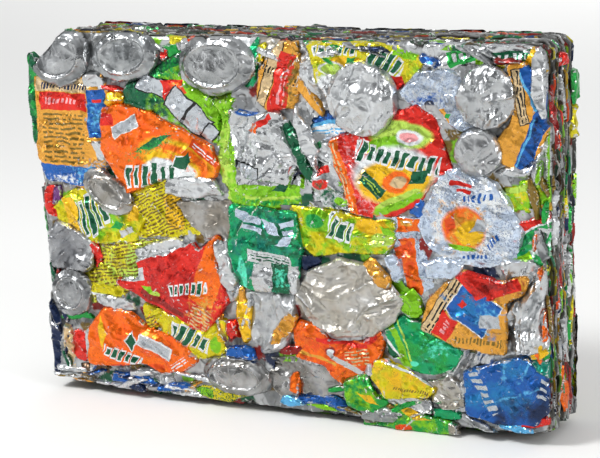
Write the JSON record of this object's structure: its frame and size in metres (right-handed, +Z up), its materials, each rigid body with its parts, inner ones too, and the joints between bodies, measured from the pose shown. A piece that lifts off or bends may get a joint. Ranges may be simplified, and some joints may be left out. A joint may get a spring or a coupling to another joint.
{
  "type": "crushed can bale",
  "caption": "Block of drink cans flattened and pressed together in a baler, standing on its long narrow side; raw stock for aluminium recycling.",
  "frame": {"origin": "centre of the bale's footprint on the floor", "axes": "+Z up; -Y out of the pressed face that shows whole cans; +X to the right as one looks at that face"},
  "size_m": [0.54, 0.0898, 0.363],
  "materials": {
    "printed_aluminium": "lacquered print over thin aluminium, glossy, creased and scuffed to bare metal at the folds",
    "bare_aluminium": "bare drawn aluminium of can ends and insides, satin, dented and greyed",
    "layered_can_edges": "packed folded can edges, bare metal with streaks of print and dark gaps"
  },
  "bodies": {
    "root": {"back_layer": "layered_can_edges", "can_blue": "printed_aluminium", "can_blue_white": "printed_aluminium", "can_crumpled_grey": "bare_aluminium", "can_deep_green": "printed_aluminium", "can_end_bottom": "bare_aluminium", "can_end_creased": "bare_aluminium", "can_end_domed": "bare_aluminium", "can_end_left": "bare_aluminium", "can_end_oval": "bare_aluminium", "can_end_small": "bare_aluminium", "can_end_top_corner": "bare_aluminium", "can_end_top_second": "bare_aluminium", "can_end_top_third": "bare_aluminium", "can_fruit_centre": "printed_aluminium", "can_green_low": "printed_aluminium", "can_green_red": "printed_aluminium", "can_green_red_strip": "printed_aluminium", "can_green_round": "printed_aluminium", "can_grey_low": "bare_aluminium", "can_grey_middle": "bare_aluminium", "can_grey_wall": "bare_aluminium", "can_lime_dark": "printed_aluminium", "can_lime_right": "printed_aluminium", "can_lime_wide": "printed_aluminium", "can_orange_lower": "printed_aluminium", "can_orange_middle": "printed_aluminium", "can_orange_upper": "printed_aluminium", "can_orange_white": "printed_aluminium", "can_red_torn": "printed_aluminium", "can_silver_blade": "bare_aluminium", "can_silver_corner": "bare_aluminium", "can_silver_creased": "bare_aluminium", "can_silver_folds": "bare_aluminium", "can_silver_green_top": "printed_aluminium", "can_silver_right": "bare_aluminium", "can_silver_rim": "bare_aluminium", "can_tan_blue_red": "printed_aluminium", "can_tan_column": "printed_aluminium", "can_tan_crescent": "printed_aluminium", "can_tan_strip": "printed_aluminium", "can_white_speckled": "printed_aluminium", "can_white_upper": "printed_aluminium", "can_yellow_green": "printed_aluminium", "can_yellow_left": "printed_aluminium", "can_yellow_print_lower": "printed_aluminium", "can_yellow_print_upper": "printed_aluminium", "can_yellow_right": "printed_aluminium", "can_yellow_top": "printed_aluminium", "can_yellow_wedge": "printed_aluminium", "flap_green_bottom": "printed_aluminium", "flap_green_left": "printed_aluminium", "flap_green_right": "printed_aluminium", "flap_yellow_bottom": "printed_aluminium", "pressed_layer_01": "layered_can_edges", "pressed_layer_02": "layered_can_edges", "pressed_layer_03": "layered_can_edges", "pressed_layer_04": "layered_can_edges", "pressed_layer_05": "layered_can_edges", "pressed_layer_06": "layered_can_edges"}
  },
  "joints": []
}
